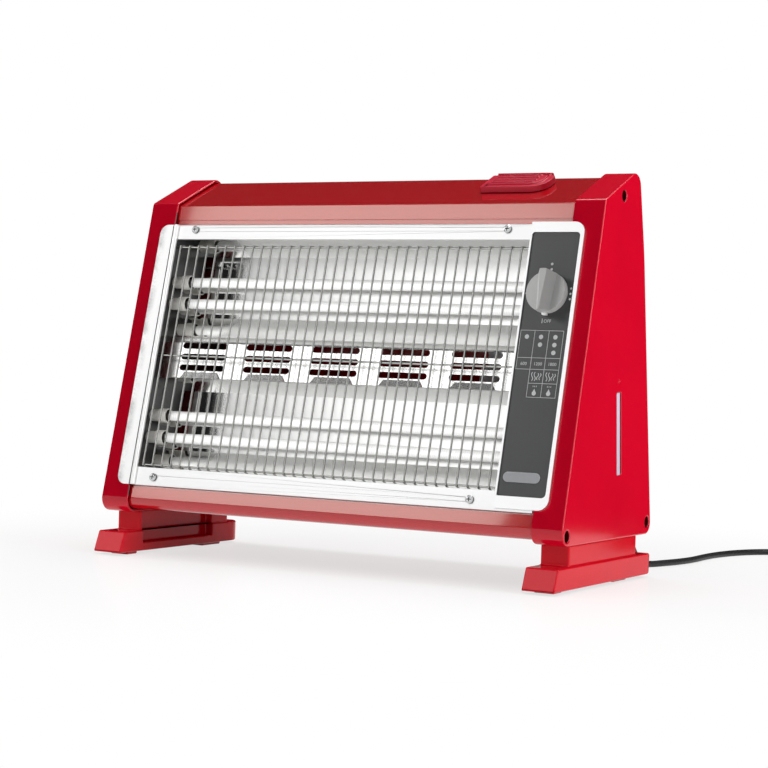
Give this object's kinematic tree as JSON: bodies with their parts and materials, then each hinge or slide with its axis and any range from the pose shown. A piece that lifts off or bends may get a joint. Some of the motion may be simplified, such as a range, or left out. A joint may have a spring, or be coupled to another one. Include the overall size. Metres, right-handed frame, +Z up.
{
  "type": "quartz heater",
  "caption": "Free-standing quartz heater: leaning wire-guarded front with reflector troughs, side control panel with a knob, red end caps on feet, and a water tank under a hinged lid.",
  "frame": {"origin": "on the floor, below the middle of the feet and of the width", "axes": "+X along the front towards the control panel, -Y out of the front, +Z up"},
  "size_m": [0.6865, 0.5988, 0.4141],
  "materials": {
    "red_moulding": "glossy red moulded plastic",
    "red_sheet": "glossy red enamel on folded steel",
    "bright_sheet": "bright polished sheet",
    "plain_sheet": "plain zinc-coated steel",
    "bright_wire": "chrome-plated wire",
    "bright_fixing": "plated screws and pins",
    "quartz": "milky quartz glass",
    "resistance_wire": "dull resistance wire",
    "ceramic": "matte white ceramic",
    "panel_sheet": "bright white metal surround",
    "panel_grey": "dark grey printed plate",
    "knob_grey": "light grey satin plastic",
    "black_plastic": "black moulded plastic",
    "white_plastic": "white moulded plastic",
    "tank_plastic": "milky moulded plastic",
    "clear_window": "clear moulded strip",
    "cord_rubber": "black cord sheath",
    "pin_metal": "plated brass plug pins"
  },
  "bodies": {
    "housing": {"left_end_cap": "red_moulding", "right_end_cap": "red_moulding", "top_cover": "red_sheet", "rear_cover": "red_sheet", "bottom_cover": "red_sheet", "left_foot": "red_moulding", "right_foot": "red_moulding", "left_side_plate": "plain_sheet", "right_side_plate": "plain_sheet", "control_partition": "plain_sheet", "left_stile": "bright_sheet", "top_rail": "bright_sheet", "bottom_rail": "bright_sheet", "guard_grille": "bright_wire", "upper_reflector": "bright_sheet", "lower_reflector": "bright_sheet", "vent_plate": "bright_sheet", "quartz_tube_1": "quartz", "quartz_tube_2": "quartz", "quartz_tube_3": "quartz", "quartz_tube_4": "quartz", "heating_coils": "resistance_wire", "ceramic_ends": "ceramic", "control_fascia": "panel_sheet", "control_plate": "panel_grey", "rotary_switch": "black_plastic", "thermal_cutout": "black_plastic", "tilt_switch": "black_plastic", "terminal_block": "white_plastic", "water_tank": "tank_plastic", "lid_hinge_pin": "bright_fixing", "level_window": "clear_window", "rail_screws": "bright_fixing", "cap_screws": "bright_fixing", "foot_screws": "bright_fixing", "cord_gland": "black_plastic", "power_cord": "cord_rubber", "cord_coil": "cord_rubber", "cord_tie": "black_plastic", "plug_body": "cord_rubber", "plug_pins": "pin_metal"},
    "knob": {"knob": "knob_grey", "switch_spindle": "bright_fixing"},
    "lid": {"tank_lid": "red_moulding"}
  },
  "joints": [
    {"name": "knob_turn", "type": "hinge", "parent": "housing", "child": "knob", "pos_m": [0.22275, -0.05246, 0.28653], "axis": [0, 0.9715, -0.2368], "range_deg": [0, 270]},
    {"name": "lid_hinge", "type": "hinge", "parent": "housing", "child": "lid", "pos_m": [0.152, 0.03781, 0.4108], "axis": [-1, 0, 0], "range_deg": [0, 100]}
  ]
}
